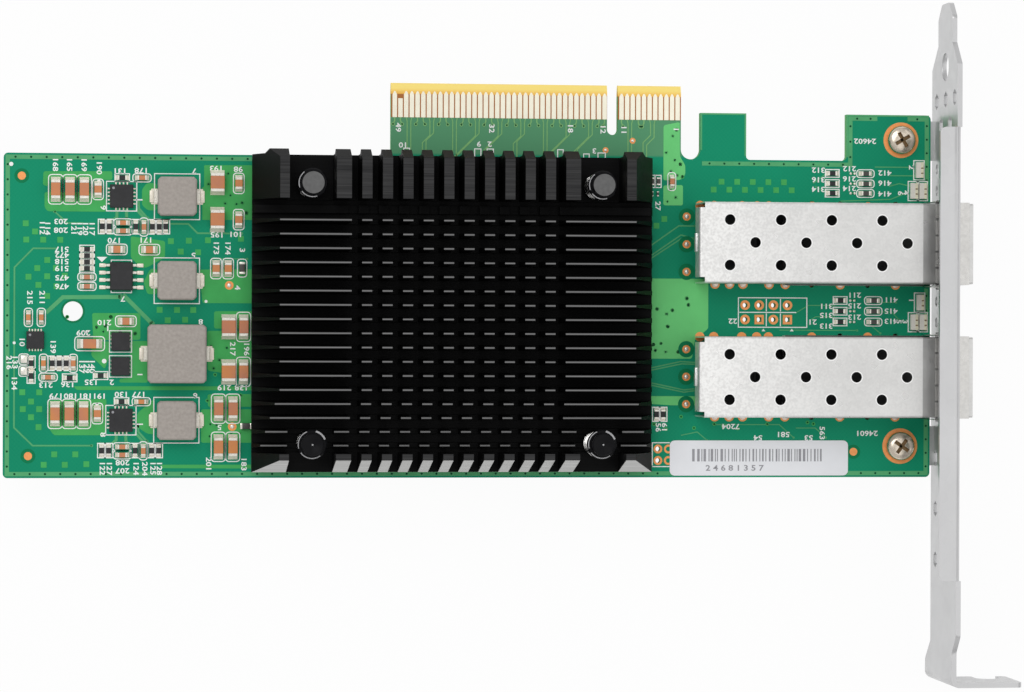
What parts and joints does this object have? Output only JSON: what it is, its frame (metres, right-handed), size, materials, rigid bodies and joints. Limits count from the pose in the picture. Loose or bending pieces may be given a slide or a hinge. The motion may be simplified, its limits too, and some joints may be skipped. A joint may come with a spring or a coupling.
{
  "type": "network interface card",
  "caption": "Circuit board with a bevelled contact edge, a black finned heatsink, open module cages, small power parts and a full-height folded end bracket.",
  "frame": {"origin": "middle of the contact edge's key slot, level with the contact edge, on the component face of the board", "axes": "+X along the board towards the bracket, +Y out of the contact edge, +Z out of the component face"},
  "size_m": [0.1771, 0.12, 0.0223],
  "materials": {
    "board_laminate": "glossy green solder mask",
    "gold_plating": "polished gold",
    "black_anodised": "satin black anodised",
    "pin_plastic": "satin",
    "spring_wire": "bright",
    "solder_tin": "bright tin",
    "chip_substrate": "matt",
    "lid_metal": "satin nickel",
    "pad_rubber": "soft matt",
    "cage_metal": "satin nickel",
    "chip_moulding": "matt black",
    "bracket_metal": "satin nickel",
    "screw_metal": "bright",
    "tan_ceramic": "satin ceramic",
    "coil_powder": "matt grey",
    "white_plastic": "satin white",
    "lamp_window": "clear",
    "label_film": "satin white"
  },
  "bodies": {
    "root": {"bracket": "bracket_metal", "bracket_screws": "screw_metal", "bulk_capacitor_bodies": "tan_ceramic", "bulk_capacitor_ends": "solder_tin", "circuit_board": "board_laminate", "coil_terminals": "solder_tin", "controller_lid": "lid_metal", "controller_solder_balls": "solder_tin", "controller_substrate": "chip_substrate", "driver_chip": "chip_moulding", "driver_leads": "solder_tin", "edge_contacts_back": "gold_plating", "edge_contacts_front": "gold_plating", "ferrite_bodies": "coil_powder", "ferrite_ends": "solder_tin", "heatsink": "black_anodised", "label": "label_film", "large_coil": "coil_powder", "lower_cage_collar": "spring_wire", "lower_cage_cover": "cage_metal", "lower_cage_tray": "cage_metal", "lower_port_body": "chip_moulding", "lower_port_contacts": "gold_plating", "power_switch_pads": "solder_tin", "power_switches": "chip_moulding", "push_pin_springs": "spring_wire", "push_pins": "pin_plastic", "regulator_chips": "chip_moulding", "resistor_bodies": "chip_moulding", "resistor_ends": "solder_tin", "small_capacitor_bodies": "tan_ceramic", "small_capacitor_ends": "solder_tin", "small_coils": "coil_powder", "status_lamp_bases": "white_plastic", "status_lamp_windows": "lamp_window", "thermal_pad": "pad_rubber", "upper_cage_collar": "spring_wire", "upper_cage_cover": "cage_metal", "upper_cage_tray": "cage_metal", "upper_port_body": "chip_moulding", "upper_port_contacts": "gold_plating"}
  },
  "joints": []
}
